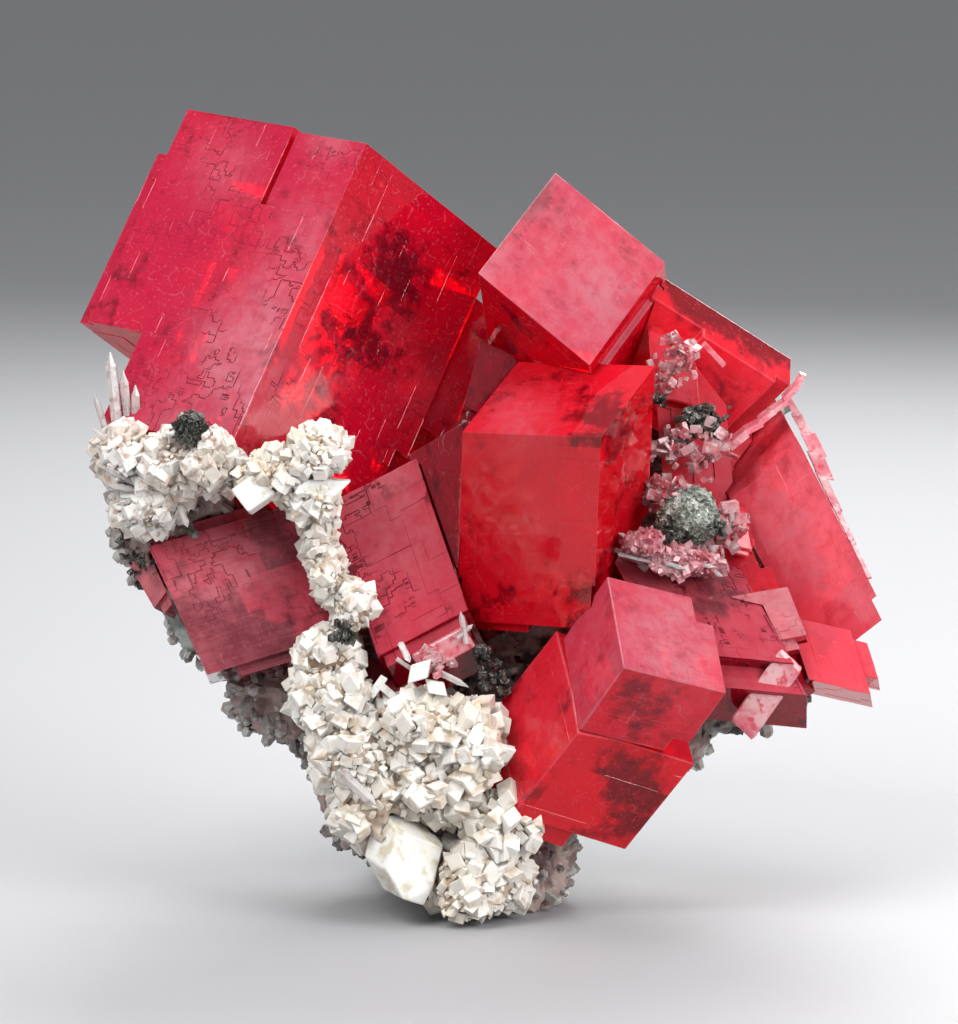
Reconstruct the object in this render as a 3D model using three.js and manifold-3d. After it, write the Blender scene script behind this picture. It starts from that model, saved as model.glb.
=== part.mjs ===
// Rhodochrosite specimen: red rhombs, white druse and sulphides on a rough quartz and sulphide matrix.
// Millimetres, +Z up. The show side looks along -Y.
// The origin is on the flat foot, below the calcite crystals.
// Shapes are written in the cluster's own upright frame: x to the right, y to the back, z up.
// The whole cluster then leans back by LEAN_DEG and its foot is cut flat at z = 0.
import * as THREE from 'three';
import { mergeVertices } from 'three/addons/utils/BufferGeometryUtils.js';
import Module from 'manifold-3d';

const wasm = await Module();
wasm.setup();

// Driving dimensions
const LEAN_DEG = 8;          // how far the cluster leans back
const GAP = 0.3;             // clear joint between neighbouring crystals
const FOOT_LEVEL = 0;        // height of the flat foot
const STAGE_SIZE = 400;      // half-size of the box that trims the foot
const BLOCK_OVERLAP = 0.02;  // how far neighbouring growth blocks of one crystal run into each other
const WELD = 1e-4;           // corners closer than this are one

// Rhodochrosite and calcite crystals. Each one has its own lattice: a corner and three edge directions.
// Its blocks are the growth steps, each [a0, a1, b0, b1, c0, c1] in mm along those directions.
// The list runs from the front of the cluster to the back, and each crystal gives way to those before it.
const CRYSTALS = [
  {
    name: 'rhomb_centre',
    corner: [20.6, -28, 81.5],
    a: [-0.75, 0.66, 0.04],
    b: [0.4, 0.75, 0.52],
    c: [-0.03, 0.37, -0.93],
    blocks: [
      [0, 31, 0, 24, 0, 27],
      [0.7, 30, 0, 22, 27, 35],
      [15, 29, 1, 22, 35, 37],
    ],
    colour: 'red',
  },
  {
    name: 'rhomb_lower_front',
    corner: [24.4, -30, 43],
    a: [-0.13, 0.59, 0.79],
    b: [0.96, 0.14, -0.24],
    c: [-0.49, 0.49, -0.72],
    blocks: [
      [0, 19, 0, 15, 0, 15],
      [0, 14, 15, 18, 0, 12],
    ],
    colour: 'pink',
  },
  {
    name: 'rhomb_lower_deep',
    corner: [17.4, -23, 32.5],
    a: [-0.18, 0.65, 0.73],
    b: [0.92, 0.25, -0.3],
    c: [-0.58, 0.33, -0.75],
    blocks: [
      [0, 22, 0, 21, 0, 20],
      [1, 20, 0, 12, 20, 24],
      [3, 20, 12, 23, 5, 17],
    ],
    colour: 'deep',
  },
  {
    name: 'rhomb_behind_front',
    corner: [22.5, -9, 62],
    a: [0.97, 0.2, -0.1],
    b: [0.42, -0.45, -0.78],
    c: [0.05, 0.85, -0.5],
    blocks: [
      [0, 23, 0, 21, 0, 15],
      [4, 23, 21, 26, 3, 15],
    ],
    colour: 'mauve',
  },
  {
    name: 'rhomb_lower_right',
    corner: [37.7, -13, 45.4],
    a: [0.74, 0.3, 0.6],
    b: [0.35, -0.1, -0.93],
    c: [0.62, 0.75, -0.25],
    blocks: [
      [0, 12, 0, 12.5, 0, 12],
      [3, 10, 0, 11, 12, 14],
    ],
    colour: 'deep',
  },
  {
    name: 'rhomb_pale_block',
    corner: [43.5, -9, 54.5],
    a: [0.9, 0.2, 0.15],
    b: [0.35, -0.2, -0.9],
    c: [0.02, 0.97, -0.2],
    blocks: [
      [0, 10, 0, 9, 0, 12],
      [3, 8, 9, 11, 1, 12],
    ],
    colour: 'pink',
  },
  {
    name: 'rhomb_right_low',
    corner: [53.6, -3, 51],
    a: [0.95, 0.1, -0.22],
    b: [0.3, -0.1, -0.95],
    c: [0.1, 0.95, -0.2],
    blocks: [
      [0, 11, 0, 11.5, 0, 14],
      [3, 13.5, 1.5, 8, 1, 13],
    ],
    colour: 'coral',
  },
  {
    name: 'rhomb_coral_small',
    corner: [41.2, -6, 69.8],
    a: [0.86, 0.3, -0.2],
    b: [0.2, -0.25, -0.94],
    c: [0.1, 0.95, 0.1],
    blocks: [
      [0, 5, 0, 6.5, 0, 8],
      [1, 4, 6.5, 8, 1, 7],
    ],
    colour: 'coral',
  },
  {
    name: 'rhomb_right',
    corner: [43.9, 4, 71.2],
    a: [0.76, -0.22, 0.61],
    b: [0.45, 0.15, -0.87],
    c: [-0.2, 0.86, 0.47],
    blocks: [
      [0, 15.6, 0, 30, 0, 18],
      [1, 14.5, 30, 34, 0, 17],
    ],
    colour: 'coral',
  },
  {
    name: 'rhomb_crimson',
    corner: [38.5, -2, 63],
    a: [0.93, 0.2, 0.12],
    b: [0.38, -0.2, -0.9],
    c: [0.05, 0.95, -0.2],
    blocks: [
      [0, 8.5, 0, 18, 0, 14],
      [2, 10.5, 5, 19, 2, 13],
    ],
    colour: 'deep',
  },
  {
    name: 'rhomb_top',
    corner: [0, -2, 110.3],
    a: [0.47, 0.61, 0.64],
    b: [0.74, -0.2, -0.62],
    c: [0.08, 0.85, -0.52],
    blocks: [
      [0, 29, 0, 25.5, 0, 24],
      [3, 26, 25.5, 26.5, 4, 22],
    ],
    colour: 'pink',
  },
  {
    name: 'rhomb_great_left',
    corner: [-19.6, 10, 133.5],
    a: [-0.83, 0.45, 0.17],
    b: [-0.36, -0.3, -0.84],
    c: [0.66, 0.56, -0.5],
    blocks: [
      [0, 14, 0, 43, 0, 35],
      [14, 15.6, 15, 43, 0, 35],
      [15.6, 38, -1, 43, 0.4, 33],
      [38, 41, 8, 43, 1.5, 30],
      [0, 26.5, 43, 61, 0, 32],
      [0.5, 24, 10, 36, 35, 48.5],
      [2, 22, 36, 48, 32, 44],
      [5, 20, 48, 55, 30, 36],
      [4, 20, 61, 64, 2, 26],
    ],
    colour: 'great',
  },
  {
    name: 'rhomb_mid_left',
    corner: [-26.1, -1, 70.3],
    a: [0.85, 0.29, 0.44],
    b: [0.31, -0.31, -0.9],
    c: [0.22, 0.86, -0.47],
    blocks: [
      [0, 18, 0, 29, 0, 18],
      [1, 17, 29, 31, 1, 17],
    ],
    colour: 'mauve',
  },
  {
    name: 'rhomb_mid_back',
    corner: [-12, 7, 79],
    a: [0.85, 0.15, 0.5],
    b: [0.2, -0.25, -0.95],
    c: [0.1, 0.9, -0.3],
    blocks: [
      [0, 12, 0, 33, 0, 15],
      [12, 15, 4, 30, 2, 14],
    ],
    colour: 'deep',
  },
  {
    name: 'rhomb_lower_left',
    corner: [-56.8, -4, 63],
    a: [0.93, 0.2, 0.28],
    b: [0.42, -0.25, -0.87],
    c: [-0.03, 0.98, -0.12],
    blocks: [
      [0, 25, 0, 25, 0, 19],
      [5, 17, 25, 27, 1, 18],
      [1, 24, -2, 0, 1.5, 17],
    ],
    colour: 'mauve',
  },
  {
    name: 'rhomb_pale_left',
    corner: [-60.6, 2, 60],
    a: [0.6, -0.1, 0.79],
    b: [0.5, -0.15, -0.85],
    c: [0.1, 0.95, -0.1],
    blocks: [
      [0, 7, 0, 9, 0, 12],
      [1, 6, 9, 11, 1, 11],
    ],
    colour: 'pink',
  },
  {
    name: 'rhomb_ridge',
    corner: [54.6, 8, 91.2],
    a: [-0.84, 0.04, 0.54],
    b: [-0.7, 0.14, -0.68],
    c: [0.06, 0.69, 0.72],
    blocks: [
      [0, 32, 0, 20, 0, 6.5],
      [1, 30, 1, 20, 6.5, 8],
      [3, 18, 0, 16, -1.6, 0],
    ],
    colour: 'red',
  },
  {
    name: 'rhomb_recess',
    corner: [30.3, 7, 98],
    a: [0.95, 0.15, -0.25],
    b: [0.08, -0.12, -0.98],
    c: [0.05, 0.95, 0.2],
    blocks: [
      [0, 13, 0, 28, 0, 12],
      [0, 8, -3, 8, -3, 8],
      [3, 17, 8, 30, 3, 14],
    ],
    colour: 'pink',
  },
  {
    name: 'rhomb_between',
    corner: [0.5, 12, 99],
    a: [0.9, 0.1, -0.42],
    b: [-0.25, -0.15, -0.95],
    c: [0.1, 0.95, -0.1],
    blocks: [
      [0, 7, 0, 12, 0, 12],
      [1, 6, 12, 14, 1, 10],
    ],
    colour: 'deep',
  },
  {
    name: 'rhomb_pink_side',
    corner: [-33.2, -3, 45],
    a: [0.8, -0.2, 0.55],
    b: [0.25, -0.2, -0.95],
    c: [0.2, 0.9, -0.3],
    blocks: [
      [0, 6, 0, 13, 0, 10],
      [1, 5, 13, 15, 1, 9],
    ],
    colour: 'pink',
  },
  {
    name: 'rhomb_under_mid',
    corner: [-19, -2, 44],
    a: [0.88, -0.1, -0.45],
    b: [-0.3, -0.4, -0.86],
    c: [0.15, 0.95, -0.25],
    blocks: [
      [0, 12, 0, 9, 0, 12],
      [2, 11, 9, 12, 1, 11],
    ],
    colour: 'deep',
  },
  {
    name: 'calcite_great',
    corner: [-14.8, -18, 9.8],
    a: [0.22, 0.16, 0.96],
    b: [0.8, 0.5, -0.32],
    c: [-0.72, 0.62, 0.3],
    blocks: [
      [-5.5, 7.3, 0, 9.5, 0, 6],
      [-4, 6.5, 9.5, 10.6, 1, 6],
    ],
    colour: 'white',
  },
];

// How the small rhombs stand on a crust: how far out they reach, how deep they sit, and their range of sizes.
const CRUST_REACH = 0.9;
const CRUST_SEAT = 0.86;
const CRUST_SMALLEST = 0.7;
const CRUST_RANGE = 0.6;
const CRUST_TURN = 3;

// Small-crystal crusts. Each patch is [x, y, z, half-width, half-depth, half-height, number of rhombs].
const CRUSTS = [
  {
    name: 'druse_column',
    seed: 11,
    rhomb: 4,
    patches: [
      [-26, -7, 44.5, 5, 7, 4.5, 1],
      [-25, -8, 37, 7, 8, 6, 2],
      [-20.5, -8, 27, 8, 9, 7.5, 2],
      [-17.5, -8, 18, 7, 9, 6, 1],
      [-10, -10, 31, 8, 8, 6.5, 2],
      [-1.5, -11, 30, 5.5, 8, 7, 2],
      [-6, -9, 22, 8, 8, 6, 1],
      [3.5, -9, 15, 5.5, 8, 6.5, 2],
      [0, -8, 6, 8.5, 8, 7, 2],
    ],
    colour: 'white',
  },
  {
    name: 'druse_upper',
    seed: 23,
    rhomb: 3.2,
    patches: [
      [-27, -13, 79.5, 5, 6, 3.8, 2],
      [-35, -12, 75.5, 6, 6, 3.8, 2],
      [-28.5, -10, 71, 4.5, 6, 4.6, 2],
      [-27.5, -8, 64, 2.1, 6, 5.2, 1],
      [-25.4, -7, 57.5, 2, 6, 5, 1],
      [-21.5, -8, 53, 3.6, 6, 4, 2],
    ],
    colour: 'white',
  },
  {
    name: 'druse_left',
    seed: 37,
    rhomb: 3,
    patches: [
      [-61, -3, 78.5, 4.5, 9, 5, 2],
      [-53, -6, 76, 6.5, 8, 5.5, 2],
      [-45.5, -8, 77, 5, 7, 5, 2],
      [-57, -2, 70, 6, 9, 4.5, 1],
    ],
    colour: 'cream',
  },
  {
    name: 'druse_pink',
    seed: 41,
    rhomb: 2.2,
    patches: [
      [28, -13, 63.5, 3.6, 3.5, 1.8, 2],
      [33.5, -13, 61.5, 3.8, 3.5, 1.8, 2],
      [39, -12, 60, 3.2, 3.5, 1.6, 2],
    ],
    colour: 'blush',
  },
];

// Round sulphide growths: centre, radius and roughness in mm.
const SULPHIDES = [
  { name: 'sulphide_ball', centre: [36, -8, 68.2], radius: 5.4, rough: 0.6, detail: 2, seed: 5 },
  { name: 'sulphide_recess', centre: [38.6, 2, 84.6], radius: 2.7, rough: 0.5, detail: 1, seed: 8 },
  { name: 'sulphide_left', centre: [-49, -13, 83.4], radius: 2.6, rough: 0.4, detail: 1, seed: 9 },
];

// The matrix is rough lumps joined behind and between the crystals.
// Each lump is [x, y, z, half-width, half-depth, half-height].
const MATRIX_LUMPS = [
  [-2, 30, 55, 42, 16, 32],
  [-38, 34, 84, 22, 14, 20],
  [-51, 14, 72, 13, 15, 15],
  [-54, 8, 66, 9, 11, 11],
  [-40, 22, 54, 17, 14, 13],
  [-34, 14, 38, 11, 13, 9],
  [-15, 13, 26, 15, 17, 19],
  [28, 14, 33, 14, 15, 12],
  [44, 13, 40, 13, 13, 9],
  [47, 25, 58, 14, 13, 19],
  [40, 26, 84, 15, 13, 15],
  [14, 34, 94, 17, 12, 14],
  [12, 15, 74, 14, 13, 20],
  [3, 9, 9, 14.5, 17, 15],
  [-1, 34, 9, 15.5, 20, 19],
];
const MATRIX_LARGE = 20;          // a lump with a half-size over this gets the finer mesh
const MATRIX_ROUGH = 2.2;         // height of its bumps
const MATRIX_GRAIN = 5;           // spacing of its bumps
const MATRIX_SEED = 3;

const COLOURS = {
  red: { color: 0xc4101f, roughness: 0.12 },
  great: { color: 0xb8152f, roughness: 0.16 },
  deep: { color: 0x8d0c1b, roughness: 0.12 },
  pink: { color: 0xd9566c, roughness: 0.22 },
  mauve: { color: 0xa8304a, roughness: 0.25 },
  coral: { color: 0xe04258, roughness: 0.18 },
  white: { color: 0xece9e0, roughness: 0.45 },
  cream: { color: 0xd9d0c4, roughness: 0.5 },
  blush: { color: 0xd9a3a6, roughness: 0.4 },
  sulphide: { color: 0x3b3c36, roughness: 0.35, metalness: 0.4 },
  matrix: { color: 0x7d6a62, roughness: 0.85 },
};

// A repeatable number between 0 and 1 for each step of a seeded sequence.
function seededRandom(seed) {
  let state = seed * 2654435761 % 4294967296;
  return () => {
    state = (state * 1664525 + 1013904223) % 4294967296;
    return state / 4294967296;
  };
}

// Smooth bumps over space, between -1 and 1, for the rough surfaces.
function lumps(point, scale, seed) {
  const { x, y, z } = point;
  const first = Math.sin(x / scale + seed) * Math.sin(y / scale * 1.3 + seed * 2.1);
  const second = Math.sin(z / scale * 1.1 + seed * 0.7) * Math.sin((x + y) / scale * 0.8 + seed);
  const third = Math.sin((z - x) / scale * 2.1 + seed * 1.7) * Math.sin((y + z) / scale * 1.9);
  return (first + second + third) / 3;
}

function solidFrom(geometry) {
  geometry.deleteAttribute('uv');
  geometry.deleteAttribute('normal');
  const merged = mergeVertices(geometry, WELD);
  const vertProperties = new Float32Array(merged.attributes.position.array);
  const triVerts = new Uint32Array(merged.index.array);
  return new wasm.Manifold(new wasm.Mesh({ numProp: 3, vertProperties, triVerts }));
}

// A six-faced block whose corners are start + a, b and c steps along three directions.
function blockGeometry(corner, axes, spans) {
  const geometry = new THREE.BoxGeometry(1, 1, 1);
  const position = geometry.attributes.position;
  const point = new THREE.Vector3();
  for (let i = 0; i < position.count; i += 1) {
    const shares = [position.getX(i) + 0.5, position.getY(i) + 0.5, position.getZ(i) + 0.5];
    point.copy(corner);
    axes.forEach((axis, k) => {
      const [low, high] = spans[k];
      point.addScaledVector(axis, low + (high - low) * shares[k]);
    });
    position.setXYZ(i, point.x, point.y, point.z);
  }
  const turned = new THREE.Vector3().crossVectors(axes[0], axes[1]).dot(axes[2]) < 0;
  if (turned) {
    const index = geometry.index.array;
    for (let i = 0; i < index.length; i += 3) {
      [index[i], index[i + 1]] = [index[i + 1], index[i]];
    }
  }
  return geometry;
}

// One crystal: all its growth blocks joined.
// A margin makes the slightly larger body that its neighbours are cut back to.
function crystalBody(spec, margin) {
  const corner = new THREE.Vector3(...spec.corner);
  const axes = [spec.a, spec.b, spec.c].map((axis) => new THREE.Vector3(...axis).normalize());
  let body = null;
  for (const [a0, a1, b0, b1, c0, c1] of spec.blocks) {
    const spans = [[a0 - margin, a1 + margin], [b0 - margin, b1 + margin], [c0 - margin, c1 + margin]];
    const grown = spans.map(([low, high]) => [low - BLOCK_OVERLAP, high + BLOCK_OVERLAP]);
    const block = solidFrom(blockGeometry(corner, axes, grown));
    body = body ? body.add(block) : block;
  }
  return body;
}

// A crust: flattened lumps with small rhombs standing on them, all joined.
function crustBody(spec, margin) {
  const random = seededRandom(spec.seed);
  let body = null;
  for (const [x, y, z, halfX, halfY, halfZ, count] of spec.patches) {
    const lump = new THREE.IcosahedronGeometry(1, 1);
    lump.scale(halfX + margin, halfY + margin, halfZ + margin);
    lump.translate(x, y, z);
    const base = solidFrom(lump);
    body = body ? body.add(base) : base;
    for (let i = 0; i < count; i += 1) {
      const around = random() * Math.PI * 2;
      const out = Math.sqrt(random()) * CRUST_REACH;
      const front = -Math.sqrt(1 - out * out) * CRUST_SEAT;
      const place = new THREE.Vector3(
        x + halfX * out * Math.cos(around),
        y + halfY * front,
        z + halfZ * out * Math.sin(around),
      );
      const size = spec.rhomb * (CRUST_SMALLEST + CRUST_RANGE * random());
      const turn = new THREE.Euler(random() * CRUST_TURN, random() * CRUST_TURN, random() * CRUST_TURN);
      const axes = [[1, 0, 0], [-0.22, 0.97, 0], [-0.22, -0.28, 0.93]].map((axis) => (
        new THREE.Vector3(...axis).normalize().applyEuler(turn)
      ));
      const half = size / 2 + margin;
      const spans = [[-half, half], [-half, half], [-half, half]];
      body = body.add(solidFrom(blockGeometry(place, axes, spans)));
    }
  }
  return body;
}

// A rough ball with a bumpy surface.
function ballBody(spec, margin) {
  const ball = new THREE.IcosahedronGeometry(spec.radius + margin, spec.detail);
  const position = ball.attributes.position;
  const point = new THREE.Vector3();
  for (let i = 0; i < position.count; i += 1) {
    point.fromBufferAttribute(position, i);
    const reach = 1 + spec.rough * lumps(point, spec.radius / 4, spec.seed) / spec.radius;
    point.multiplyScalar(reach);
    position.setXYZ(i, point.x, point.y, point.z);
  }
  ball.translate(...spec.centre);
  return solidFrom(ball);
}

// The matrix: bumpy lumps joined into one rock.
function matrixBody() {
  let body = null;
  MATRIX_LUMPS.forEach(([x, y, z, halfX, halfY, halfZ], order) => {
    const detail = Math.max(halfX, halfY, halfZ) > MATRIX_LARGE ? 2 : 1;
    const lump = new THREE.IcosahedronGeometry(1, detail);
    const position = lump.attributes.position;
    const out = new THREE.Vector3();
    const point = new THREE.Vector3();
    for (let i = 0; i < position.count; i += 1) {
      out.fromBufferAttribute(position, i).normalize();
      point.set(x + out.x * halfX, y + out.y * halfY, z + out.z * halfZ);
      const coarse = lumps(point, MATRIX_GRAIN, MATRIX_SEED + order);
      const fine = 0.5 * lumps(point, MATRIX_GRAIN / 2, MATRIX_SEED + order);
      point.addScaledVector(out, MATRIX_ROUGH * (coarse + fine));
      position.setXYZ(i, point.x, point.y, point.z);
    }
    const solid = solidFrom(lump);
    body = body ? body.add(solid) : solid;
  });
  return body;
}

// Keeps the main piece of a cut body and drops the slivers that its neighbours cut off.
function mainPiece(body) {
  const parts = body.decompose();
  parts.sort((one, two) => two.volume() - one.volume());
  return parts[0];
}

function meshFrom(body, name, look) {
  const source = body.getMesh();
  const geometry = new THREE.BufferGeometry();
  const count = source.vertProperties.length / source.numProp;
  const place = new Float32Array(count * 3);
  for (let i = 0; i < count; i += 1) {
    for (let k = 0; k < 3; k += 1) {
      place[i * 3 + k] = source.vertProperties[i * source.numProp + k];
    }
  }
  geometry.setAttribute('position', new THREE.BufferAttribute(place, 3));
  geometry.setIndex(new THREE.BufferAttribute(new Uint32Array(source.triVerts), 1));
  geometry.computeVertexNormals();
  const { color, roughness, metalness = 0 } = COLOURS[look];
  const mesh = new THREE.Mesh(geometry, new THREE.MeshStandardMaterial({ color, roughness, metalness }));
  mesh.name = name;
  return mesh;
}

// Everything in order from front to back, each with its body and the larger body that clears it.
const pieces = [];
for (const spec of CRYSTALS) {
  const body = crystalBody(spec, 0);
  const clear = crystalBody(spec, GAP);
  pieces.push({ name: spec.name, look: spec.colour, body, clear });
}
for (const spec of SULPHIDES) {
  const body = ballBody(spec, 0);
  const clear = ballBody(spec, GAP);
  pieces.push({ name: spec.name, look: 'sulphide', body, clear });
}
for (const spec of CRUSTS) {
  const body = crustBody(spec, 0);
  const clear = crustBody(spec, GAP);
  pieces.push({ name: spec.name, look: spec.colour, body, clear });
}
pieces.push({ name: 'matrix', look: 'matrix', body: matrixBody(), clear: null });

const above = new THREE.BoxGeometry(2 * STAGE_SIZE, 2 * STAGE_SIZE, STAGE_SIZE);
above.translate(0, 0, STAGE_SIZE / 2 + FOOT_LEVEL);
const aboveFoot = solidFrom(above);

const group = new THREE.Group();
let taken = null;
for (const piece of pieces) {
  const free = taken ? piece.body.subtract(taken) : piece.body;
  const leaned = free.rotate([-LEAN_DEG, 0, 0]).intersect(aboveFoot);
  group.add(meshFrom(mainPiece(leaned), piece.name, piece.look));
  if (piece.clear) {
    taken = taken ? taken.add(piece.clear) : piece.clear;
  }
}

export default group;
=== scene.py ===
"""Rhodochrosite specimen: see-through red rhombs, white druse, quartz and sulphides on rough matrix."""
import math
import random

import bmesh
import bpy
import numpy as np
from bpy.props import FloatProperty, FloatVectorProperty, PointerProperty
from bpy.types import Operator, Panel, PropertyGroup
from mathutils import Euler, Matrix, Vector, noise
from mathutils.bvhtree import BVHTree


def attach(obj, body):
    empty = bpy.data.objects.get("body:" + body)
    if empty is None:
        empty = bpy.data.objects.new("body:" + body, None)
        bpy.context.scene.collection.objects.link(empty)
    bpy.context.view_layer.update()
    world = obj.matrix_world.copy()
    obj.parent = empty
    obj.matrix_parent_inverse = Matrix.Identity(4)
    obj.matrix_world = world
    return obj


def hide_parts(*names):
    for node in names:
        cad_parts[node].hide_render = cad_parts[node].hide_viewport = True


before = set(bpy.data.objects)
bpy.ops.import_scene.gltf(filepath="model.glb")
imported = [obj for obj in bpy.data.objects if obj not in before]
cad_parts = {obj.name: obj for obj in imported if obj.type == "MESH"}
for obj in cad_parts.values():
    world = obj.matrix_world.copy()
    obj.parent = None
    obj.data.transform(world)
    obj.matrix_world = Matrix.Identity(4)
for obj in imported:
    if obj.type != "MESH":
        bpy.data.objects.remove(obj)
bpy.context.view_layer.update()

bl_info = {
    "name": "Rhodochrosite Specimen",
    "version": (1, 0, 0),
    "blender": (4, 5, 0),
    "location": "View3D > Sidebar > Specimen",
    "description": "Builds a cluster of see-through red rhombs with white druse on rough matrix",
    "category": "Add Mesh",
}

MM = 0.001
LEAN = math.radians(8.0)
SENSOR_MM = 36.0
FRAMED_HEIGHT_MM = 176.13
ON_LATTICE = 0.985  # cosine over which a face counts as one of the lattice faces
SHARP_EDGE = math.radians(25)
FOOT_SKIN = 0.05 * MM  # below this a roughened rock stays on its flat foot
FOOT_EDGE = 0.3 * MM

# Each rhomb: finish, pale veil with painted sheen on the faces that look at the light, relief of its growth
# steps in mm, seed.
RHOMBS = {
    "rhomb_great_left": ("rose", 0.07, 0.06, 1),
    "rhomb_top": ("petal", 0.8, 0.02, 2),
    "rhomb_centre": ("fire", 0.05, 0.02, 3),
    "rhomb_mid_left": ("mauve", 0.6, 0.09, 4),
    "rhomb_mid_back": ("wine", 0.1, 0.04, 5),
    "rhomb_lower_left": ("striped", 0.5, 0.05, 6),
    "rhomb_ridge": ("fire", 0.15, 0.03, 7),
    "rhomb_right": ("coral", 0.5, 0.03, 8),
    "rhomb_behind_front": ("mauve", 0.75, 0.04, 9),
    "rhomb_lower_front": ("petal", 0.6, 0.03, 10),
    "rhomb_lower_deep": ("fire", 0.2, 0.04, 11),
    "rhomb_lower_right": ("wine", 0.4, 0.06, 12),
    "rhomb_pale_block": ("blush", 0.8, 0.05, 13),
    "rhomb_right_low": ("coral", 0.5, 0.05, 14),
    "rhomb_pale_left": ("blush", 0.8, 0.05, 15),
    "rhomb_recess": ("fire", 0.5, 0.3, 16),
    "rhomb_between": ("wine", 0.3, 0.12, 17),
    "rhomb_pink_side": ("blush", 0.7, 0.05, 18),
    "rhomb_under_mid": ("wine", 0.5, 0.06, 19),
    "rhomb_crimson": ("fire", 0.3, 0.05, 20),
    "rhomb_coral_small": ("coral", 0.15, 0.25, 21),
}
STRIPED_ACROSS = ("rhomb_lower_left", "rhomb_pale_left", "rhomb_lower_right")
# Clouds seen face-on, in mm: right, up, reach and strength; above 0 they paint pale veils and painted sheen,
# below 0 dark patches and painted shade.
SHEEN_AND_SHADE_CLOUDS = {
    # the first two light clouds of the great crystal paint a sheen near the right edge of its front face
    "rhomb_great_left": [(-34, 107, 7, 0.7), (-38, 92, 8, 1.3), (-43, 99, 6, 0.7), (-29, 118, 7, 0.4),
                         (-45, 130, 6, 0.45), (-52, 84, 7, 0.5), (-17, 111, 8, -0.9), (-20, 99, 7, -0.6),
                         (-64, 105, 7, -0.25), (-26, 134, 4, 0.5), (-8, 90, 6, 0.4), (-27, 86, 5, -0.4),
                         (-24, 93, 3, 0.3), (-13, 101, 3, 0.3)],
    "rhomb_recess": [(33, 92, 4, 0.6), (38, 80, 5, 0.4), (43, 76, 5, 0.5)],
    "rhomb_top": [(13, 121, 7, -0.7), (8, 125, 5, -0.6), (22, 108, 6, 0.4),
                  (0, 112, 5, 0.3), (4, 100, 4, -0.5)],
    "rhomb_centre": [(20, 85, 6.5, -0.8), (7, 85, 5.5, 0.9), (0, 78, 4, 0.3), (10, 66, 6, 0.15),
                     (14, 50, 6, -0.5), (26, 72, 5, 0.2), (2, 52, 5, -0.35), (22, 58, 4, -0.35)],
    "rhomb_mid_left": [(-17, 73, 7, 0.7), (-12, 62, 6, 0.4), (-22, 60, 5, 0.2), (-14, 46, 6, -0.3)],
    "rhomb_lower_left": [(-42, 60, 6, 0.9), (-49, 57, 4, 0.7), (-52, 50, 4, -0.6), (-36, 50, 6, -0.5),
                         (-41, 44, 6, -0.8), (-36, 68, 4, -0.6), (-50, 45, 3, 0.5)],
    "rhomb_right": [(57, 68, 8, 0.9), (64, 58, 6, 0.6), (50, 80, 6, -0.2),
                    (60, 78, 4, 0.5), (68, 52, 4, 0.7)],
    "rhomb_behind_front": [(30, 62, 7, 0.8), (40, 56, 5, -0.8)],
    "rhomb_lower_front": [(33, 48, 7, 0.8), (27, 36, 5, -0.8), (36, 38, 5, 0.5)],
    "rhomb_lower_deep": [(10, 36, 8, 0.2), (26, 22, 7, -0.8)],
    # the five strong dark clouds paint the shade on the ridge's top slab
    "rhomb_ridge": [(44, 90, 5, -0.5), (50, 90, 5, 0.3), (36, 108.5, 3.5, -1.3), (40, 105.8, 3.5, -1.3),
                    (44.5, 103, 3.5, -1.3), (49, 100, 3.5, -1.3), (53.5, 97, 3.5, -1.3)],
    "rhomb_crimson": [(40, 56, 4, -0.4), (44, 50, 4, 0.3)],
}


# ---------------------------------------------------------------- sizes and colours a user would change


class SpecimenSettings(PropertyGroup):
    fire_colour: FloatVectorProperty(
        name="Clear red", description="Body colour of the clearest crystals",
        subtype="COLOR", size=3, min=0, max=1, default=(0.92, 0.006, 0.024))
    rose_colour: FloatVectorProperty(
        name="Rose red", description="Body colour of the great crystals",
        subtype="COLOR", size=3, min=0, max=1, default=(0.70, 0.004, 0.062))
    mauve_colour: FloatVectorProperty(
        name="Mauve red", description="Body colour of the greyed crystals",
        subtype="COLOR", size=3, min=0, max=1, default=(0.60, 0.014, 0.05))
    wine_colour: FloatVectorProperty(
        name="Wine red", description="Body colour of the darkest crystals",
        subtype="COLOR", size=3, min=0, max=1, default=(0.40, 0.003, 0.018))
    coral_colour: FloatVectorProperty(
        name="Coral red", description="Body colour of the crystals on the right",
        subtype="COLOR", size=3, min=0, max=1, default=(0.90, 0.06, 0.10))
    blush_colour: FloatVectorProperty(
        name="Blush", description="Body colour of the palest crystals",
        subtype="COLOR", size=3, min=0, max=1, default=(0.70, 0.10, 0.13))
    # pale colour of the growth veil and of the painted sheen on the rose crystals' faces that look at the
    # light
    rose_sheen_colour: FloatVectorProperty(
        name="Frost", description="Colour of the fine growth veil on upward faces",
        subtype="COLOR", size=3, min=0, max=1, default=(0.90, 0.30, 0.39))
    edge_round: FloatProperty(
        name="Edge round", description="Width of the worn crystal edges",
        default=0.22 * MM, min=0, unit="LENGTH")


class StageSettings(PropertyGroup):
    lens: FloatProperty(
        name="Lens", description="Focal length of the camera in millimetres", default=180.0)
    floor_colour: FloatVectorProperty(
        name="Floor", description="Colour of the floor and backdrop",
        subtype="COLOR", size=3, min=0, max=1, default=(0.36, 0.36, 0.37))
    key_power: FloatProperty(
        name="Key light", description="Power of the main soft light in watts", default=8.0)


# ---------------------------------------------------------------- small helpers


def on_face_frame(x, depth, up):
    """A place seen face-on in mm (right, away, up) as a place in the row frame in metres."""
    return Vector((x, up * math.sin(LEAN) + depth * math.cos(LEAN),
                   up * math.cos(LEAN) - depth * math.sin(LEAN))) * MM


def face_turn():
    """Turns directions of the upright cluster into the leaned row frame."""
    return Matrix.Rotation(-LEAN, 3, "X")


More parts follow.
